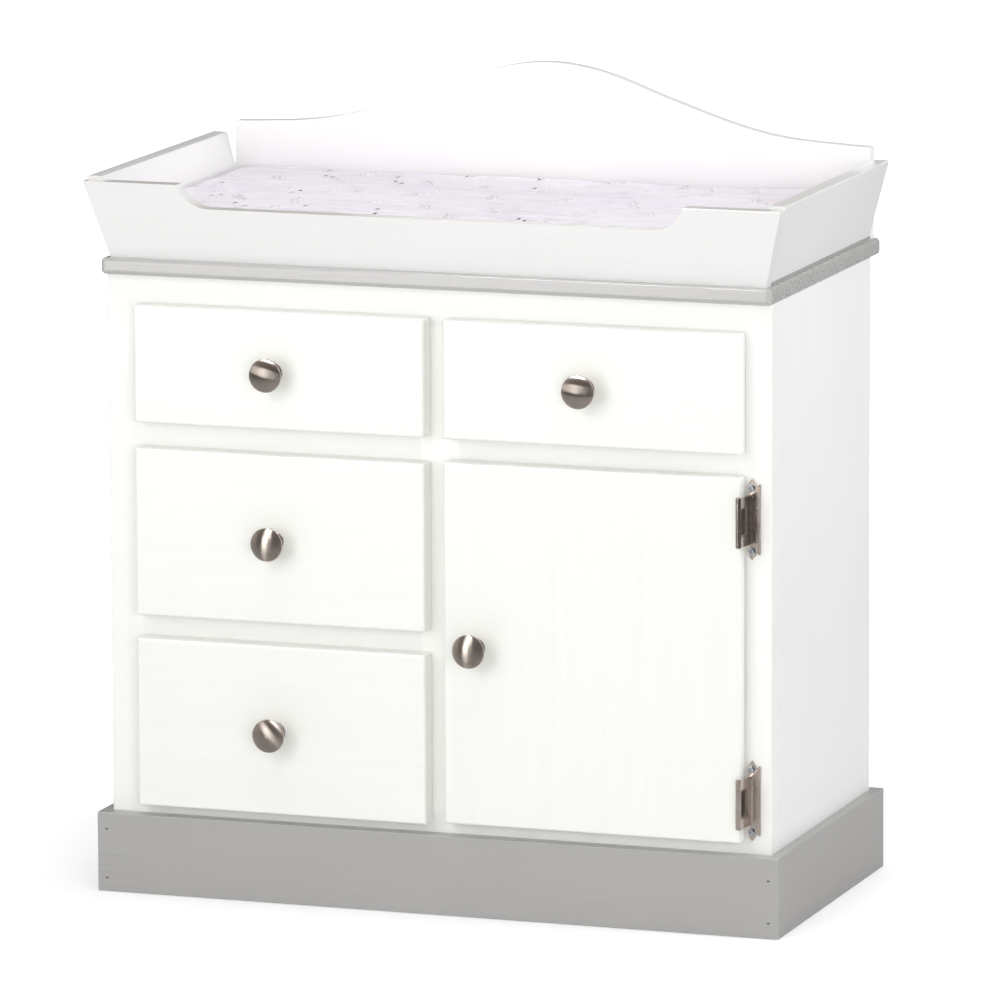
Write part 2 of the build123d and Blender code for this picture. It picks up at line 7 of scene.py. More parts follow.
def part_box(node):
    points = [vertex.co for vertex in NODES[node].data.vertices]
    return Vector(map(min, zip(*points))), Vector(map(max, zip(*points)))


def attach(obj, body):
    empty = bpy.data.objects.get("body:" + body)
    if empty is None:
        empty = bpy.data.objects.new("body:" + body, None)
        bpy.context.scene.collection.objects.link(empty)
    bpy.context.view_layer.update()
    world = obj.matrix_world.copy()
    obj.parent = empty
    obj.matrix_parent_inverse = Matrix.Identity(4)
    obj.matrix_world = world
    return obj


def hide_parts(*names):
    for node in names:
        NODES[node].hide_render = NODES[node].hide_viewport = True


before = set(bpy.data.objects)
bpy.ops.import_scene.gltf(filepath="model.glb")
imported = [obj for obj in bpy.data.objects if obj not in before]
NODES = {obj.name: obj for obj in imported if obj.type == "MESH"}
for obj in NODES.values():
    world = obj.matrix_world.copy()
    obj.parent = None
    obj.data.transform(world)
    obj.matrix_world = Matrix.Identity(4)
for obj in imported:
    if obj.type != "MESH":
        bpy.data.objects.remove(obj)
bpy.context.view_layer.update()


scene = bpy.context.scene
scene.view_settings.view_transform = "Standard"
scene.view_settings.look = "None"
scene.view_settings.exposure = 0.0
scene.view_settings.gamma = 1.0

# ------------------------------------------------------------------ camera
YAW, PITCH, ROLL = 0.3376080623, 0.1757513731, -0.0045019453
fwd = Vector((-math.sin(YAW) * math.cos(PITCH), math.cos(YAW) * math.cos(PITCH), -math.sin(PITCH)))
right = Vector((math.cos(YAW), math.sin(YAW), 0.0))
up = right.cross(fwd)
r2 = math.cos(ROLL) * right + math.sin(ROLL) * up
u2 = -math.sin(ROLL) * right + math.cos(ROLL) * up
cam_data = bpy.data.cameras.new("camera")
cam_data.sensor_width = 36.0
cam_data.lens = 319.248
cam_data.clip_start, cam_data.clip_end = 0.1, 200.0
cam = bpy.data.objects.new("camera", cam_data)
scene.collection.objects.link(cam)
m = Matrix.Identity(4)
for i, v in enumerate((r2, u2, -fwd)):
    m[0][i], m[1][i], m[2][i] = v
m.translation = Vector((2.750166, -7.79705, 1.836607))
cam.matrix_world = m
scene.camera = cam


# --------------------------------------------------------------- materials
def lin(r, g, b):
    def one(c):
        c /= 255.0
        return c / 12.92 if c <= 0.04045 else ((c + 0.055) / 1.055) ** 2.4
    return (one(r), one(g), one(b), 1.0)


class Tree:
    """A small helper round one material's node tree."""

    def __init__(self, name):
        self.mat = bpy.data.materials.new(name)
        self.mat.use_nodes = True
        self.nt = self.mat.node_tree
        self.nt.nodes.clear()
        self.out = self.add("ShaderNodeOutputMaterial")
        self.bsdf = self.add("ShaderNodeBsdfPrincipled")
        self.link(self.bsdf.outputs["BSDF"], self.out.inputs["Surface"])

    def add(self, kind, **props):
        n = self.nt.nodes.new(kind)
        for k, v in props.items():
            setattr(n, k, v)
        return n

    def link(self, a, b):
        self.nt.links.new(a, b)

    def coords(self, scale=(1, 1, 1), rot=(0, 0, 0), loc=(0, 0, 0)):
        tc = self.add("ShaderNodeTexCoord")
        mp = self.add("ShaderNodeMapping")
        mp.inputs["Scale"].default_value = scale
        mp.inputs["Rotation"].default_value = rot
        mp.inputs["Location"].default_value = loc
        self.link(tc.outputs["Object"], mp.inputs["Vector"])
        return mp.outputs["Vector"]

    def turned(self, angle, scale):
        """Object coordinates turned about Y first and stretched after, so the stretch follows the turned axes."""
        mp = self.add("ShaderNodeMapping")
        mp.inputs["Scale"].default_value = scale
        self.link(self.coords(rot=(0, angle, 0)), mp.inputs["Vector"])
        return mp.outputs["Vector"]

    def noise(self, vec, scale=1.0, detail=3.0, rough=0.55, distort=0.0):
        n = self.add("ShaderNodeTexNoise")
        n.inputs["Scale"].default_value = scale
        n.inputs["Detail"].default_value = detail
        n.inputs["Roughness"].default_value = rough
        n.inputs["Distortion"].default_value = distort
        self.link(vec, n.inputs["Vector"])
        return n.outputs["Fac"]

    def ramp(self, fac, stops):
        r = self.add("ShaderNodeValToRGB")
        e = r.color_ramp.elements
        e[0].position, e[0].color = stops[0]
        e[1].position, e[1].color = stops[-1]
        for p, c in stops[1:-1]:
            x = e.new(p)
            x.color = c
        self.link(fac, r.inputs["Fac"])
        return r.outputs["Color"]

    def spread(self, fac, a, b, lo=0.3, hi=0.7):
        r = self.add("ShaderNodeMapRange")
        r.inputs["From Min"].default_value = lo
        r.inputs["From Max"].default_value = hi
        r.inputs["To Min"].default_value = a
        r.inputs["To Max"].default_value = b
        self.link(fac, r.inputs["Value"])
        return r.outputs["Result"]

    def math(self, op, a, b):
        n = self.add("ShaderNodeMath", operation=op)
        for i, v in enumerate((a, b)):
            if isinstance(v, (int, float)):
                n.inputs[i].default_value = v
            else:
                self.link(v, n.inputs[i])
        return n.outputs[0]

    def mix(self, fac, a, b, kind="MIX"):
        n = self.add("ShaderNodeMix", data_type="RGBA", blend_type=kind)
        for name, v in (("Factor", fac), ("A", a), ("B", b)):
            s = [x for x in n.inputs if x.name == name and (x.type == "VALUE") == (name == "Factor")]
            s = s[0] if name == "Factor" else [x for x in s if x.type == "RGBA"][0]
            if isinstance(v, (int, float, tuple)):
                s.default_value = v
            else:
                self.link(v, s)
        return [o for o in n.outputs if o.type == "RGBA"][0]

    def bump(self, height, strength, distance, normal=None):
        b = self.add("ShaderNodeBump")
        b.inputs["Strength"].default_value = strength
        b.inputs["Distance"].default_value = distance
        self.link(height, b.inputs["Height"])
        if normal is not None:
            self.link(normal, b.inputs["Normal"])
        return b.outputs["Normal"]


def shade(c, k, warm=0.0):
    return (min(1, c[0] * k * (1 + warm)), min(1, c[1] * k), min(1, c[2] * k * (1 - warm)), 1.0)


def paint(name, colour, grain, rough=0.36, depth=0.00009, offset=0.0, spread=0.018, painted_top_shading=None, coat=0.0, up=(0.70, 0.92), speck=0.35):
    """Satin brush-coat paint over wood: faint grain telegraphs through it, with soft mottling and a slightly uneven gloss."""
    t = Tree(name)
    along, across = 5.0, 150.0
    scale = [across, across, across]
    scale[grain] = along
    g = t.noise(t.coords(tuple(scale), loc=(offset, offset * 1.7, offset * 0.6)), 1.0, 5.0, 0.62, 0.25)
    scale2 = [s * (2.1 if i == grain else 3.6) for i, s in enumerate(scale)]
    pores = t.noise(t.coords(tuple(scale2), loc=(offset * 2.3, 0.4, offset)), 1.0, 2.0, 0.7)
    brush = t.noise(t.coords(tuple(s * (0.6 if i == grain else 2.0) for i, s in enumerate(scale)), loc=(3, offset, 1)), 1.0, 2.0, 0.5)
    cloud = t.noise(t.coords(loc=(offset, 2.0, 5.0)), 3.2, 4.0, 0.55)
    fine = t.noise(t.coords(), 950.0, 2.0, 0.5)
    c1 = t.mix(t.spread(cloud, 0, 1), shade(colour, 1 - spread, 0.004), shade(colour, 1.0, 0.0))
    c2 = t.mix(t.spread(g, 0, 1, 0.35, 0.75), c1, shade(colour, 1 - spread * 1.6, 0.006))
    c2 = t.mix(t.spread(pores, 0.0, speck, 0.62, 0.8), c2, shade(colour, 0.93, 0.01))
    if painted_top_shading is not None:
        # painted shading on up-facing faces, such as the boards' sawn upper edges: a set tone per material (darker on
        # the tray and back boards, lighter on the depth-grain white) stands in for the light from above
        geo = t.add("ShaderNodeNewGeometry")
        sep = t.add("ShaderNodeSeparateXYZ")
        t.link(geo.outputs["Normal"], sep.inputs[0])
        c2 = t.mix(t.spread(sep.outputs["Z"], 0.0, 1.0, *up), c2, painted_top_shading)
    if coat:
        t.bsdf.inputs["Coat Weight"].default_value = coat
        t.bsdf.inputs["Coat Roughness"].default_value = 0.10
    t.link(c2, t.bsdf.inputs["Base Color"])
    t.link(t.math("ADD", t.spread(cloud, rough - 0.05, rough + 0.05), t.spread(brush, -0.03, 0.03)), t.bsdf.inputs["Roughness"])
    n = t.bump(g, 0.55, depth)
    n = t.bump(brush, 0.30, depth * 0.6, n)
    n = t.bump(fine, 0.25, depth / 3.0, n)
    t.link(n, t.bsdf.inputs["Normal"])
    t.bsdf.inputs["IOR"].default_value = 1.48
    return t.mat


def timber(name, grain, light, dark, ply=False, offset=0.0):
    """Bare sanded softwood: growth bands, fibres and small pores along the grain."""
    t = Tree(name)
    s = [34.0, 34.0, 34.0]
    s[grain] = 1.6
    bands = t.noise(t.coords(tuple(s), loc=(offset, offset, 1.3)), 1.0, 2.0, 0.4, 0.6)
    rings = t.math("FRACT", t.math("MULTIPLY", bands, 7.0), 0.0)
    s2 = [520.0, 520.0, 520.0]
    s2[grain] = 12.0
    fibre = t.noise(t.coords(tuple(s2), loc=(0.3, offset, 0)), 1.0, 4.0, 0.65)
    c = t.mix(t.spread(rings, 0.0, 1.0, 0.1, 1.0), light, dark)
    c = t.mix(t.spread(fibre, 0.0, 0.55, 0.35, 0.75), c, shade(dark, 0.72, 0.02))
    t.link(c, t.bsdf.inputs["Base Color"])
    t.link(t.spread(fibre, 0.52, 0.72), t.bsdf.inputs["Roughness"])
    n = t.bump(fibre, 0.5, 0.00014)
    n = t.bump(rings, 0.12, 0.00012, n)
    t.link(n, t.bsdf.inputs["Normal"])
    return t.mat


def nickel(name, streak, colour=(0.60, 0.535, 0.485, 1.0), rough=0.33, aniso=1.0, lines=900.0):
    """Satin nickel brushed along one direction; streak is the angle, in the XZ plane, across the brushing, in which a highlight stretches."""
    t = Tree(name)
    a = math.radians(streak)
    # brushing runs at right angles to the streak
    v = t.turned(a, (lines, lines, 9.0))
    lines_n = t.noise(v, 1.0, 3.0, 0.7)
    cloud = t.noise(t.coords(loc=(streak, 1, 2)), 60.0, 3.0, 0.5)
    c = t.mix(t.spread(lines_n, 0.0, 1.0, 0.25, 0.75), shade(colour, 0.86, 0.01), shade(colour, 1.08, 0.0))
    c = t.mix(t.spread(cloud, 0.0, 0.4), c, shade(colour, 0.84, 0.05))
    t.link(c, t.bsdf.inputs["Base Color"])
    t.link(t.math("ADD", t.spread(lines_n, rough - 0.04, rough + 0.05), t.spread(cloud, -0.02, 0.03)), t.bsdf.inputs["Roughness"])
    t.link(t.bump(lines_n, 0.18, 0.00003), t.bsdf.inputs["Normal"])
    t.bsdf.inputs["Metallic"].default_value = 1.0
    t.bsdf.inputs["Anisotropic"].default_value = aniso
    d = t.add("ShaderNodeCombineXYZ")
    d.inputs[0].default_value, d.inputs[1].default_value, d.inputs[2].default_value = math.cos(a), 0.02, math.sin(a)
    w = t.add("ShaderNodeVectorTransform", vector_type="VECTOR", convert_from="OBJECT", convert_to="WORLD")
    t.link(d.outputs[0], w.inputs[0])
    t.link(w.outputs[0], t.bsdf.inputs["Tangent"])
    return t.mat


def plated(name, colour, rough, cloud_scale=140.0, dull=0.78):
    """Dull plated steel with tumbled scuffs and slightly uneven plating."""
    t = Tree(name)
    cloud = t.noise(t.coords(), cloud_scale, 4.0, 0.6)
    scuff = t.noise(t.coords((900, 900, 60)), 1.0, 3.0, 0.7)
    c = t.mix(t.spread(cloud, 0.0, 1.0), shade(colour, dull, 0.03), shade(colour, 1.1, 0.0))
    c = t.mix(t.spread(scuff, 0.0, 0.35, 0.5, 0.8), c, shade(colour, 1.35, -0.01))
    t.link(c, t.bsdf.inputs["Base Color"])
    t.link(t.spread(scuff, rough - 0.05, rough + 0.1), t.bsdf.inputs["Roughness"])
    n = t.bump(cloud, 0.25, 0.00006)
    t.link(t.bump(scuff, 0.2, 0.00003, n), t.bsdf.inputs["Normal"])
    t.bsdf.inputs["Metallic"].default_value = 1.0
    return t.mat


WHITE = lin(243, 244, 240)
WHITE_COOL = lin(243, 243, 243)
FRAME = lin(244, 244, 242)
# painted light: lighter tone for the up-facing faces of the depth-grain white boards
PAINTED_TOP_LIGHT = lin(247, 246, 244)
TRAY = lin(240, 240, 240)
GREY = lin(173, 172, 171)
X, Y, Z = 0, 1, 2

white_v = paint("white_paint_upright_grain", WHITE_COOL, Z, offset=1.0, depth=0.00016)
frame_v = paint("frame_paint_upright_grain", FRAME, Z, offset=2.5)
# painted light: the centre stile gets a lighter copy of the frame paint, offsetting the shadow the drawer fronts cast
# on it
frame_centre_painted_light = paint("frame_paint_centre_stile_painted_light", lin(250, 250, 247), Z, offset=5.5)
frame_h = paint("frame_paint_level_grain", FRAME, X, offset=7.0)
# painted shade on the up-facing faces of the tray and back boards; painted light on those of the depth-grain white
tray_h = paint("tray_paint_level_grain", TRAY, X, offset=16.0, painted_top_shading=lin(228, 224, 220), coat=0.5)
back_h = paint("back_paint_level_grain", lin(247, 246, 247), X, offset=18.0, painted_top_shading=lin(236, 233, 230), up=(0.35, 0.72))
white_y = paint("white_paint_depth_grain", WHITE_COOL, Y, offset=12.0, painted_top_shading=PAINTED_TOP_LIGHT, coat=0.5)
grey_h = paint("grey_paint_level_grain", GREY, X, rough=0.33, offset=4.0, spread=0.03)
grey_top = paint("grey_paint_top_board", lin(184, 183, 182), X, rough=0.25, depth=0.00002, offset=31.0, spread=0.006, coat=0.35, speck=0.0)
grey_y = paint("grey_paint_depth_grain", GREY, Y, rough=0.33, offset=9.0, spread=0.03)
fronts = {}
for i, key in enumerate(("upper_left_drawer", "middle_left_drawer", "lower_left_drawer", "upper_right_drawer")):
    fronts[key] = paint(key + "_front_paint", WHITE, X, rough=0.34, offset=20.0 + 3.7 * i)
door_paint = paint("door_paint", WHITE, Z, rough=0.34, offset=41.0)
pine_y = timber("drawer_side_pine", Y, lin(226, 196, 150), lin(198, 158, 108))
pine_x = timber("drawer_end_pine", X, lin(226, 196, 150), lin(200, 160, 110), offset=4.0)
ply_x = timber("drawer_bottom_ply", X, lin(232, 208, 168), lin(208, 174, 128), offset=9.0)
runner_wood = timber("runner_maple", Y, lin(222, 190, 142), lin(190, 148, 98), offset=14.0)
hinge_metal = plated("hinge_nickel", (0.74, 0.66, 0.61, 1.0), 0.19, 60.0, 0.92)
pin_metal = plated("hinge_pin_steel", (0.55, 0.50, 0.46, 1.0), 0.26)
zinc = plated("zinc_screw", (0.62, 0.68, 0.76, 1.0), 0.22, 600.0)
brad_steel = plated("brad_steel", (0.10, 0.09, 0.085, 1.0), 0.5, 900.0)

STREAK = {"upper_left_drawer": -14.0, "middle_left_drawer": 86.0, "lower_left_drawer": -48.0,
          "upper_right_drawer": -5.0, "door": 89.0}
knob_metal = {k: nickel("knob_nickel_" + k, s) for k, s in STREAK.items()}


def material_for(n):
    if n in ("top_board",):
        return grey_top
    if n in ("tray_bottom",):
        return grey_h
    if n.startswith("plinth_"):
        if n == "plinth_brads":
            return brad_steel
        return grey_y if "left" in n or "right" in n else grey_h
    if n == "door_panel":
        return door_paint
    if n == "door_knob":
        return knob_metal["door"]
    if n.endswith("_knob"):
        return knob_metal[n[:-5]]
    if n.endswith("_front") and n[:-6] in fronts:
        return fronts[n[:-6]]
    if n.endswith("_box_sides"):
        return pine_y
    if n.endswith("_box_ends"):
        return pine_x
    if n.endswith("_box_bottom"):
        return ply_x
    if n == "drawer_runners":
        return runner_wood
    if n == "hinge_pins":
        return pin_metal
    if "screw" in n:
        return zinc
    if "hinge" in n:
        return hinge_metal
    if n == "centre_stile":
        return frame_centre_painted_light
    if n in ("left_stile", "right_stile"):
        return frame_v
    if n in ("top_rail", "bottom_rail", "upper_left_rail", "lower_left_rail", "right_rail"):
        return frame_h
    if n == "tray_front":
        return tray_h
    if n == "tray_back":
        return back_h
    if n in ("tray_left_end", "tray_right_end", "bottom_panel"):
        return white_y
    return white_v


for n, o in NODES.items():
    o.data.materials.clear()
    o.data.materials.append(material_for(n))

# --------------------------------------------------------------------- pad
pad_lo, pad_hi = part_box("changing_pad")
FOOT_Z = 0.6106
LEAN = 0.26795
PAD_BACK = pad_hi.y


def side_limit(z):
    """Half width and front depth that the pad may reach at height z, just inside the leaning tray boards."""
    half = 0.3082 + (z - FOOT_Z) * LEAN - 0.0016
    front = -0.12915 - (z - 0.6074) * LEAN + 0.0016
    return half, front


def rounded_slab(nx, ny, nz, z0, z1, inset, radius):
    """Closed block of quads following the tray's flare, with round upright corners."""
    bm = bmesh.new()
    rings = []
    for k in range(nz + 1):
        z = z0 + (z1 - z0) * k / nz
        half, front = side_limit(z)
        half -= inset
        front += inset
        back = PAD_BACK - inset
        pts = []
        for cx, cy, a0 in ((half - radius, front + radius, -90), (half - radius, back - radius, 0),
                           (-half + radius, back - radius, 90), (-half + radius, front + radius, 180)):
            for j in range(7):
                a = math.radians(a0 + 90 * j / 6)
                pts.append((cx + radius * math.cos(a), cy + radius * math.sin(a), z))
        rings.append([bm.verts.new(p) for p in pts])
    count = len(rings[0])
    for k in range(nz):
        for j in range(count):
            a, b = rings[k][j], rings[k][(j + 1) % count]
            c, d = rings[k + 1][(j + 1) % count], rings[k + 1][j]
            bm.faces.new((a, b, c, d))
    bm.faces.new(list(reversed(rings[0])))
    bm.faces.new(rings[-1])
    me = bpy.data.meshes.new("changing_pad_cover")
    bm.to_mesh(me)
    bm.free()
    return me


def coords_of(me):
    co = np.zeros(len(me.vertices) * 3)
    me.vertices.foreach_get("co", co)
    return co.reshape(-1, 3)


def smooth01(x):
    x = np.clip(x, 0.0, 1.0)
    return x * x * (3 - 2 * x)


def hold_inside(co, top):
    """Keep every point inside the space between the tray boards."""
    z = np.clip(co[:, 2], pad_lo.z + 0.0002, top)
    half = 0.3082 + (z - FOOT_Z) * LEAN - 0.0015
    front = -0.12915 - (z - 0.6074) * LEAN + 0.0015
    return np.stack([np.clip(co[:, 0], -half, half), np.clip(co[:, 1], front, PAD_BACK - 0.0003), z], axis=1)


def make_pad():
    top = pad_hi.z
    me = rounded_slab(1, 1, 4, pad_lo.z + 0.0003, top - 0.0065, 0.0035, 0.013)
    pad = bpy.data.objects.new("changing_pad_cover", me)
    scene.collection.objects.link(pad)
    rm = pad.modifiers.new("remesh", "REMESH")
    rm.mode = "VOXEL"
    rm.voxel_size = 0.005
    dg = bpy.context.evaluated_depsgraph_get()
    done = bpy.data.meshes.new_from_object(pad.evaluated_get(dg))
    pad.modifiers.clear()
    pad.data = done
    rest = coords_of(pad.data)
    group = pad.vertex_groups.new(name="rests")
    low = [i for i, c in enumerate(rest) if c[2] < pad_lo.z + 0.004]
    group.add(low, 1.0, "REPLACE")
    cl = pad.modifiers.new("cloth", "CLOTH")
    s = cl.settings
    s.quality = 5
    s.mass = 0.25
    s.tension_stiffness = s.compression_stiffness = 14
    s.shear_stiffness = 6
    s.bending_stiffness = 0.4
    s.use_pressure = True
    s.uniform_pressure_force = 2.6
    s.shrink_min = -0.012
    s.vertex_group_mass = "rests"
    s.effector_weights.gravity = 0.0
    cl.collision_settings.use_collision = False
    scene.frame_start, scene.frame_end = 1, 18
    cl.point_cache.frame_start, cl.point_cache.frame_end = 1, 18
    for f in range(1, 19):
        scene.frame_set(f)
    dg = bpy.context.evaluated_depsgraph_get()
    sim = coords_of(pad.evaluated_get(dg).data)
    pad.modifiers.clear()
    scene.frame_set(1)
    move = sim - rest
    length = np.linalg.norm(move, axis=1)
    cap = 0.006
    k = np.where(length > 1e-9, cap * np.tanh(length / cap) / np.maximum(length, 1e-9), 0.0)
    co = rest + move * k[:, None]
    pad.data.vertices.foreach_set("co", co.ravel())
    pad.data.update()
    sub = pad.modifiers.new("subdivision", "SUBSURF")
    sub.levels = sub.render_levels = 1
    dg = bpy.context.evaluated_depsgraph_get()
    fine = bpy.data.meshes.new_from_object(pad.evaluated_get(dg))
    pad.modifiers.clear()
    pad.data = fine
    co = coords_of(fine)
    nrm = np.zeros(len(fine.vertices) * 3)
    fine.vertices.foreach_get("normal", nrm)
    nrm = nrm.reshape(-1, 3)
    facing = smooth01((nrm[:, 2] - 0.2) / 0.6)
    wave = np.zeros(len(co))
    for i, c in enumerate(co):
        if facing[i] <= 0:
            continue
        x, y = c[0], c[1]
        bend = 0.020 * noise.noise(Vector((x * 7.0, y * 4.0, 3.1)))
        a = noise.noise(Vector((x * 8.5, (y + bend) * 46.0, 0.7)))
        b = noise.noise(Vector((x * 15.0, (y + bend * 1.6) * 95.0, 5.2)))
        d = noise.noise(Vector((x * 30.0 + 4, y * 170.0, 9.4)))
        broad = noise.noise(Vector((x * 5.0, y * 6.0, 12.0)))
        ridge = 1.0 - abs(a) * 2.2
        wave[i] = 0.00235 * ridge + 0.00105 * b + 0.00028 * d + 0.0042 * broad
    co = co + nrm * (wave * facing)[:, None]
    # the side seam pulls the boxing in at half height
    mid = (pad_lo.z + top) / 2
    side = 1.0 - np.abs(nrm[:, 2])
    pull = 0.0016 * np.exp(-((co[:, 2] - mid) / 0.0022) ** 2) * smooth01((side - 0.5) / 0.4)
    co = co - nrm * pull[:, None]
    co = hold_inside(co, top - 0.0002)
    fine.vertices.foreach_set("co", co.ravel())
    fine.update()
    fine.polygons.foreach_set("use_smooth", [True] * len(fine.polygons))
    return pad


pad = make_pad()
pad.name = "changing_pad_cover"
verts = [v.co.copy() for v in pad.data.vertices]
polys = [tuple(p.vertices) for p in pad.data.polygons]
skin = BVHTree.FromPolygons(verts, polys)


def on_pad(x, y):
    """Point and normal of the cover's top under a vertical line."""
    hit, nrm, _, _ = skin.ray_cast(Vector((x, y, 0.75)), Vector((0, 0, -1)))
    if hit is None:
        return None
    if nrm.z < 0:
        nrm = -nrm
    return hit, nrm


def tube(bm, path, radius, sides=6, closed=False):
    """Round thread along points (position, normal)."""
    rings = []
    n = len(path)
    for i, (p, nr) in enumerate(path):
        a = path[(i - 1) % n][0] if closed or i else path[i][0]
        b = path[(i + 1) % n][0] if closed or i < n - 1 else path[i][0]
        t = (b - a).normalized()
        s = t.cross(nr).normalized()
        u = s.cross(t)
        r = radius(i / max(1, n - 1)) if callable(radius) else radius
        rings.append([bm.verts.new(p + (s * math.cos(2 * math.pi * k / sides) + u * math.sin(2 * math.pi * k / sides)) * r)
                      for k in range(sides)])
    span = n if closed else n - 1
    for i in range(span):
        r0, r1 = rings[i], rings[(i + 1) % n]
        for k in range(sides):
            bm.faces.new((r0[k], r0[(k + 1) % sides], r1[(k + 1) % sides], r1[k]))
    if not closed:
        bm.faces.new(list(reversed(rings[0])))
        bm.faces.new(rings[-1])


def put(x, y, lift):
    got = on_pad(x, y)
    if got is None:
        return None
    p, nr = got
    return p + nr * lift, nr


EYE_A, EYE_B = 0.0023, 0.0062       # an eyelet is a small oval, worked round with thread
rnd = random.Random(41)
hole_shade_bm, thread_bm = bmesh.new(), bmesh.new()


def eyelet(x, y, turn):
    ring = []
    for k in range(18):
        a = 2 * math.pi * k / 18
        dx, dy = EYE_A * math.cos(a), EYE_B * math.sin(a)
        q = put(x + dx * math.cos(turn) - dy * math.sin(turn), y + dx * math.sin(turn) + dy * math.cos(turn), 0.00025)
        if q is None:
            return False
        ring.append(q)
    tube(thread_bm, ring, 0.00062, 6, closed=True)
    # a dark disc fills the hole: the cloth seen through it, with the hole's shade painted into its colour
    mid = put(x, y, -0.0002)
    top = [hole_shade_bm.verts.new(p - nr * 0.00012) for p, nr in ring]
    low = [hole_shade_bm.verts.new(p - nr * 0.0007) for p, nr in ring]
    c_top = hole_shade_bm.verts.new(mid[0] + mid[1] * 0.00032)
    c_low = hole_shade_bm.verts.new(mid[0] - mid[1] * 0.0005)
    for k in range(18):
        hole_shade_bm.faces.new((top[k], top[(k + 1) % 18], c_top))
        hole_shade_bm.faces.new((low[(k + 1) % 18], low[k], c_low))
        hole_shade_bm.faces.new((top[(k + 1) % 18], top[k], low[k], low[(k + 1) % 18]))
    return True


def leaf(x, y, turn, length=0.0062, wide=0.0019, high=0.0009):
    """Satin-stitched leaf: a low domed lens."""
    rows = []
    for i in range(7):
        s = i / 6
        w = wide * math.sin(math.pi * min(1, max(0, s)) ** 0.85) * 0.5
        row = []
        for j in (-1.0, -0.5, 0.0, 0.5, 1.0):
            lx, ly = (s - 0.0) * length, j * max(w, 0.00008)
            h = high * (1 - j * j) * math.sin(math.pi * s) + 0.00005
            q = put(x + lx * math.cos(turn) - ly * math.sin(turn), y + lx * math.sin(turn) + ly * math.cos(turn), h)
            if q is None:
                return
            row.append(q)
        rows.append(row)
    top = [[thread_bm.verts.new(p) for p, _ in row] for row in rows]
    low = [[thread_bm.verts.new(p - nr * 0.0007) for p, nr in row] for row in rows]
    for i in range(6):
        for j in range(4):
            thread_bm.faces.new((top[i][j], top[i + 1][j], top[i + 1][j + 1], top[i][j + 1]))
            thread_bm.faces.new((low[i][j + 1], low[i + 1][j + 1], low[i + 1][j], low[i][j]))
        thread_bm.faces.new((top[i][0], low[i][0], low[i + 1][0], top[i + 1][0]))
        thread_bm.faces.new((top[i + 1][4], low[i + 1][4], low[i][4], top[i][4]))
    thread_bm.faces.new([top[0][j] for j in range(5)] + [low[0][j] for j in range(4, -1, -1)])
    thread_bm.faces.new([top[6][j] for j in range(4, -1, -1)] + [low[6][j] for j in range(5)])


def sprig(x, y, turn, size=0.034):
    pts = []
    for i in range(9):
        s = i / 8
        lx, ly = (s - 0.5) * size, 0.004 * math.sin(2.6 * s)
        q = put(x + lx * math.cos(turn) - ly * math.sin(turn), y + lx * math.sin(turn) + ly * math.cos(turn), 0.00022)
        if q is None:
            return
        pts.append(q)
    tube(thread_bm, pts, 0.00058, 6)
    for i in (2, 3, 5, 6):
        p = pts[i][0]
        for sgn in (-1, 1):
            leaf(p.x, p.y, turn + sgn * 0.85, 0.0092, 0.0036)
    p = pts[-1][0]
    leaf(p.x, p.y, turn, 0.0098, 0.0038)


TRIOS = [(-0.258, -0.037), (-0.195, 0.008), (-0.201, 0.120), (-0.123, 0.101), (-0.069, 0.158),
         (0.002, 0.160), (0.070, 0.160), (0.149, 0.144)]
OFFS = [((-0.008, 0.020), (0.001, -0.013), (0.007, -0.006)), ((-0.009, 0.016), (0.003, -0.015), (0.006, -0.001)),
        ((0.0, -0.012), (0.009, -0.018), (-0.009, 0.022)), ((-0.009, 0.020), (-0.001, -0.008), (0.009, -0.018)),
        ((-0.002, -0.010), (0.007, -0.007), (-0.005, 0.010)), ((0.001, -0.014), (-0.007, 0.009), (0.005, -0.003)),
        ((-0.008, 0.010), (0.004, 0.003), (0.004, -0.018)), ((-0.008, 0.018), (0.003, -0.017), (0.005, -0.002))]
extra, fillers = [], []
for row, (y0, shift) in enumerate(((-0.108, 0.0), (-0.052, 0.035), (0.020, 0.0), (0.075, 0.035), (0.140, 0.012))):
    for i in range(-5, 5):
        x = i * 0.070 + shift + rnd.uniform(-0.005, 0.005)
        y = y0 + rnd.uniform(-0.008, 0.008)
        half, front = side_limit(0.645)
        if abs(x) > half - 0.022 or y < front + 0.026 or y > PAD_BACK - 0.026:
            continue
        near = min(math.hypot(x - a, y - b) for a, b in TRIOS)
        if near > 0.040 and y < -0.085:
            extra.append((x, y))
        elif near > 0.026:
            fillers.append((x - 0.030, y))
for i, (x, y) in enumerate(TRIOS + extra):
    for dx, dy in OFFS[i % len(OFFS)]:
        eyelet(x + dx, y + dy, rnd.uniform(-0.25, 0.25))
for x, y in ((-0.280, 0.036), (0.019, 0.087), (0.225, 0.128)):
    eyelet(x, y, 0.1)
for i, (x, y) in enumerate(TRIOS + extra + fillers):
    sx, sy = x + 0.034 + rnd.uniform(-0.004, 0.004), y + rnd.uniform(-0.014, 0.014)
    half, front = side_limit(0.645)
    if abs(sx) < half - 0.026 and front + 0.026 < sy < PAD_BACK - 0.026:
        sprig(sx, sy, math.radians(rnd.choice((62, 78, 104, 118, 48))) + rnd.uniform(-0.15, 0.15))


def from_bm(bm, name):
    bmesh.ops.recalc_face_normals(bm, faces=bm.faces)
    me = bpy.data.meshes.new(name)
    bm.to_mesh(me)
    bm.free()
    me.polygons.foreach_set("use_smooth", [True] * len(me.polygons))
    o = bpy.data.objects.new(name, me)
    scene.collection.objects.link(o)
    return o


eyelet_shade_discs = from_bm(hole_shade_bm, "changing_pad_eyelet_shade_discs")
embroidery = from_bm(thread_bm, "changing_pad_embroidery")


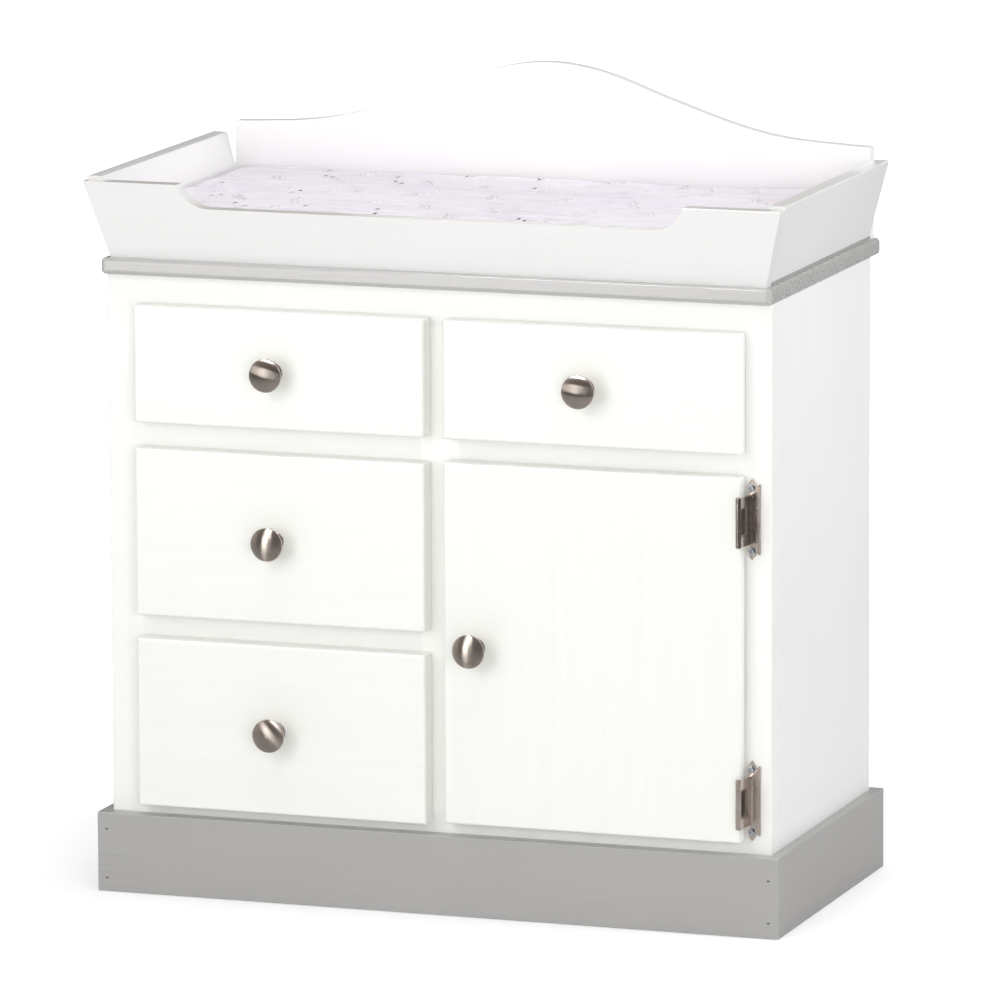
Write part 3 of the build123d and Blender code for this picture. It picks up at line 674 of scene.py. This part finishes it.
def cotton():
    t = Tree("eyelet_cotton")
    t.bsdf.inputs["Roughness"].default_value = 0.85
    base = lin(241, 236, 242)
    cloud = t.noise(t.coords((9, 22, 9)), 1.0, 4.0, 0.55, 0.6)
    pink = t.noise(t.coords((5, 18, 5), loc=(3, 1, 2)), 1.0, 3.0, 0.5, 0.4)
    c = t.mix(t.spread(cloud, 0.0, 1.0, 0.35, 0.65), lin(234, 230, 242), base)
    c = t.mix(t.spread(pink, 0.0, 0.8, 0.56, 0.75), c, lin(243, 228, 233))
    # painted shade: thin darker lines stand in for the shade in the cover's creases
    crease_shade_lines = t.math("ABSOLUTE", t.math("SUBTRACT", t.noise(t.coords((7, 70, 7), loc=(4, 1, 2)), 1.0, 3.0, 0.6, 0.7), 0.5), 0.0)
    c = t.mix(t.spread(crease_shade_lines, 0.32, 0.0, 0.0, 0.04), c, lin(207, 199, 210))
    # painted light and shade: a soft noise darkens some patches and lightens others, standing in for light falling
    # across the rumpled cover
    rumple_light_and_shade = t.noise(t.coords((16, 62, 16), loc=(1, 5, 3)), 1.0, 5.0, 0.68, 1.1)
    c = t.mix(t.spread(rumple_light_and_shade, 0.0, 0.55, 0.54, 0.68), c, lin(213, 206, 214))
    c = t.mix(t.spread(rumple_light_and_shade, 0.7, 0.0, 0.34, 0.46), c, lin(252, 250, 252))
    weave_x = t.add("ShaderNodeTexWave", wave_type="BANDS", bands_direction="X")
    weave_x.inputs["Scale"].default_value = 260.0
    weave_y = t.add("ShaderNodeTexWave", wave_type="BANDS", bands_direction="Y")
    weave_y.inputs["Scale"].default_value = 260.0
    for w in (weave_x, weave_y):
        w.inputs["Distortion"].default_value = 0.6
        w.inputs["Detail"].default_value = 1.0
        t.link(t.coords(), w.inputs["Vector"])
    weave = t.math("MULTIPLY", weave_x.outputs["Fac"], weave_y.outputs["Fac"])
    slub = t.noise(t.coords((90, 900, 90)), 1.0, 2.0, 0.6)
    c = t.mix(t.spread(slub, 0.0, 0.30, 0.5, 0.8), c, lin(248, 245, 250))
    c = t.mix(t.spread(weave, 0.10, 0.0, 0.0, 0.6), c, lin(222, 216, 228))
    t.link(c, t.bsdf.inputs["Base Color"])
    n = t.bump(weave, 0.35, 0.00018)
    n = t.bump(slub, 0.25, 0.00012, n)
    crease = t.noise(t.coords((26, 150, 26), loc=(1, 2, 3)), 1.0, 4.0, 0.62, 0.8)
    n = t.bump(crease, 0.5, 0.0012, n)
    t.link(n, t.bsdf.inputs["Normal"])
    t.bsdf.inputs["Sheen Weight"].default_value = 0.25
    t.bsdf.inputs["Sheen Roughness"].default_value = 0.4
    return t.mat


def thread():
    t = Tree("embroidery_thread")
    v = t.coords((1800, 260, 1800), rot=(0, 0, 0.5))
    strand = t.noise(v, 1.0, 2.0, 0.6)
    # painted shade: grey patches on the thread stand in for the shadows between the raised stitches
    stitch_shade = t.noise(t.coords(loc=(7, 3, 1)), 420.0, 2.0, 0.5)
    c = t.mix(t.spread(strand, 0.0, 1.0), lin(226, 219, 228), lin(252, 249, 252))
    c = t.mix(t.spread(stitch_shade, 0.0, 0.7, 0.50, 0.60), c, lin(196, 189, 199))
    t.link(c, t.bsdf.inputs["Base Color"])
    t.link(t.spread(strand, 0.42, 0.6), t.bsdf.inputs["Roughness"])
    t.link(t.bump(strand, 0.4, 0.00015), t.bsdf.inputs["Normal"])
    t.bsdf.inputs["Sheen Weight"].default_value = 0.15
    return t.mat


# painted shade: near-black cloth for the hole discs, standing in for the shadowed inside of each eyelet
def eyelet_hole_shade():
    t = Tree("eyelet_hole_shade_cloth")
    v = t.noise(t.coords(), 1400.0, 3.0, 0.6)
    c = t.mix(t.spread(v, 0.0, 1.0), lin(58, 50, 57), lin(84, 74, 82))
    t.link(c, t.bsdf.inputs["Base Color"])
    t.link(t.spread(v, 0.85, 0.95), t.bsdf.inputs["Roughness"])
    t.link(t.bump(v, 0.4, 0.0002), t.bsdf.inputs["Normal"])
    return t.mat


pad.data.materials.clear()
pad.data.materials.append(cotton())
embroidery.data.materials.append(thread())
eyelet_shade_discs.data.materials.append(eyelet_hole_shade())
for o in (pad, embroidery, eyelet_shade_discs):
    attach(o, "pad")
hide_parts("changing_pad")


# ------------------------------------------------------------ floor, lights
def floor():
    bm = bmesh.new()
    rings = [0.0, 0.6, 1.2, 2.0, 3.2, 6.0, 12.0, 30.0, 60.0]
    centre = bm.verts.new((0, 0, -0.0006))
    prev = None
    for r in rings[1:]:
        ring = [bm.verts.new((r * math.cos(2 * math.pi * k / 64), r * math.sin(2 * math.pi * k / 64), -0.0006)) for k in range(64)]
        for k in range(64):
            if prev is None:
                bm.faces.new((centre, ring[k], ring[(k + 1) % 64]))
            else:
                bm.faces.new((prev[k], ring[k], ring[(k + 1) % 64], prev[(k + 1) % 64]))
        prev = ring
    me = bpy.data.meshes.new("studio_floor")
    bm.to_mesh(me)
    bm.free()
    o = bpy.data.objects.new("studio_floor", me)
    scene.collection.objects.link(o)
    mat = bpy.data.materials.new("studio_floor_white")
    mat.use_nodes = True
    nt = mat.node_tree
    nt.nodes.clear()
    out = nt.nodes.new("ShaderNodeOutputMaterial")
    add = nt.nodes.new("ShaderNodeAddShader")
    dif = nt.nodes.new("ShaderNodeBsdfDiffuse")
    emi = nt.nodes.new("ShaderNodeEmission")
    lp = nt.nodes.new("ShaderNodeLightPath")
    tc = nt.nodes.new("ShaderNodeTexCoord")
    ln = nt.nodes.new("ShaderNodeVectorMath")
    ln.operation = "LENGTH"
    mr = nt.nodes.new("ShaderNodeMapRange")
    mr.interpolation_type = "SMOOTHSTEP"
    mr.inputs["From Min"].default_value = 0.35
    mr.inputs["From Max"].default_value = 1.5
    mr.inputs["To Min"].default_value = 0.30
    mr.inputs["To Max"].default_value = 1.2
    mul = nt.nodes.new("ShaderNodeMath")
    mul.operation = "MULTIPLY"
    nt.links.new(tc.outputs["Object"], ln.inputs[0])
    nt.links.new(ln.outputs["Value"], mr.inputs["Value"])
    nt.links.new(mr.outputs["Result"], mul.inputs[0])
    nt.links.new(lp.outputs["Is Camera Ray"], mul.inputs[1])
    nt.links.new(mul.outputs[0], emi.inputs["Strength"])
    seen = nt.nodes.new("ShaderNodeMapRange")
    near = nt.nodes.new("ShaderNodeMapRange")
    near.interpolation_type = "SMOOTHSTEP"
    near.inputs["From Min"].default_value = 0.8
    near.inputs["From Max"].default_value = 1.9
    near.inputs["To Min"].default_value = 0.40
    near.inputs["To Max"].default_value = 0.10
    nt.links.new(ln.outputs["Value"], near.inputs["Value"])
    seen.inputs["To Min"].default_value = 0.78
    nt.links.new(near.outputs["Result"], seen.inputs["To Max"])
    nt.links.new(lp.outputs["Is Glossy Ray"], seen.inputs["Value"])
    nt.links.new(seen.outputs["Result"], dif.inputs["Color"])
    nt.links.new(dif.outputs[0], add.inputs[0])
    nt.links.new(emi.outputs[0], add.inputs[1])
    nt.links.new(add.outputs[0], out.inputs["Surface"])
    me.materials.append(mat)
    return o


floor()

CENTRE = Vector((0.0, 0.0, 0.40))


def soft_light(name, azimuth, elevation, distance, width, height, power, colour=(1, 1, 1), glossy=True, diffuse=True):
    """Azimuth 0 shines from the front, 90 from the right; positive elevation from above."""
    a, e = math.radians(azimuth), math.radians(elevation)
    d = Vector((math.sin(a) * math.cos(e), -math.cos(a) * math.cos(e), math.sin(e)))
    data = bpy.data.lights.new(name, "AREA")
    data.shape = "RECTANGLE"
    data.size, data.size_y = width, height
    data.energy = power
    data.color = colour
    o = bpy.data.objects.new(name, data)
    o.location = CENTRE + d * distance
    o.rotation_mode = "QUATERNION"
    o.rotation_quaternion = (-d).to_track_quat("-Z", "Y")
    scene.collection.objects.link(o)
    o.visible_camera = False
    o.visible_glossy = glossy
    o.visible_diffuse = diffuse
    return o


soft_light("key_softbox", -19, 20, 2.6, 1.55, 1.9, 23.5, (1.0, 0.997, 0.992), glossy=False)
soft_light("key_glow", -20, 11, 2.6, 1.05, 1.6, 25.0, (1.0, 0.99, 0.98), diffuse=False)
soft_light("top_fill", 0, 75, 2.6, 1.7, 1.1, 18.0, glossy=False)
soft_light("front_fill", 30, 8, 3.2, 1.4, 1.0, 25.0, glossy=False)
soft_light("right_fill", 92, 25, 1.7, 0.9, 0.8, 11.3, glossy=False)
soft_light("edge_strip", -20, 62, 2.2, 0.9, 0.10, 24.0, diffuse=False)
soft_light("left_fill", -98, 12, 3.0, 1.6, 1.6, 14.0, glossy=False)
soft_light("back_fill", 180, 30, 3.0, 2.2, 1.6, 30.0, glossy=False)

world = bpy.data.worlds.new("studio")
scene.world = world
world.use_nodes = True
wt = world.node_tree
wt.nodes.clear()
w_out = wt.nodes.new("ShaderNodeOutputWorld")
bg_view = wt.nodes.new("ShaderNodeBackground")
bg_view.inputs["Color"].default_value = (1, 1, 1, 1)
bg_view.inputs["Strength"].default_value = 1.0
bg_amb = wt.nodes.new("ShaderNodeBackground")
bg_amb.inputs["Color"].default_value = (1.0, 0.995, 0.99, 1)
bg_amb.inputs["Strength"].default_value = 0.33
bg_gls = wt.nodes.new("ShaderNodeBackground")
bg_gls.inputs["Color"].default_value = (1.0, 0.93, 0.88, 1)
w_dir = wt.nodes.new("ShaderNodeTexCoord")
w_sep = wt.nodes.new("ShaderNodeSeparateXYZ")
w_up = wt.nodes.new("ShaderNodeMapRange")
w_up.interpolation_type = "SMOOTHSTEP"
w_up.inputs["From Min"].default_value = 0.05
w_up.inputs["From Max"].default_value = 0.75
w_up.inputs["To Min"].default_value = 0.05
w_up.inputs["To Max"].default_value = 0.22
wt.links.new(w_dir.outputs["Generated"], w_sep.inputs[0])
wt.links.new(w_sep.outputs["Z"], w_up.inputs["Value"])
w_side = wt.nodes.new("ShaderNodeMapRange")
w_side.interpolation_type = "SMOOTHSTEP"
w_side.inputs["From Min"].default_value = -0.72
w_side.inputs["From Max"].default_value = -0.95
w_side.inputs["To Min"].default_value = 0.0
w_side.inputs["To Max"].default_value = 0.55
w_sum = wt.nodes.new("ShaderNodeMath")
w_sum.operation = "ADD"
wt.links.new(w_sep.outputs["X"], w_side.inputs["Value"])
wt.links.new(w_up.outputs["Result"], w_sum.inputs[0])
wt.links.new(w_side.outputs["Result"], w_sum.inputs[1])
wt.links.new(w_sum.outputs[0], bg_gls.inputs["Strength"])
lp = wt.nodes.new("ShaderNodeLightPath")
m1 = wt.nodes.new("ShaderNodeMixShader")
m2 = wt.nodes.new("ShaderNodeMixShader")
wt.links.new(lp.outputs["Is Glossy Ray"], m1.inputs["Fac"])
wt.links.new(bg_amb.outputs[0], m1.inputs[1])
wt.links.new(bg_gls.outputs[0], m1.inputs[2])
wt.links.new(lp.outputs["Is Camera Ray"], m2.inputs["Fac"])
wt.links.new(m1.outputs[0], m2.inputs[1])
wt.links.new(bg_view.outputs[0], m2.inputs[2])
wt.links.new(m2.outputs[0], w_out.inputs["Surface"])

bpy.context.view_layer.update()
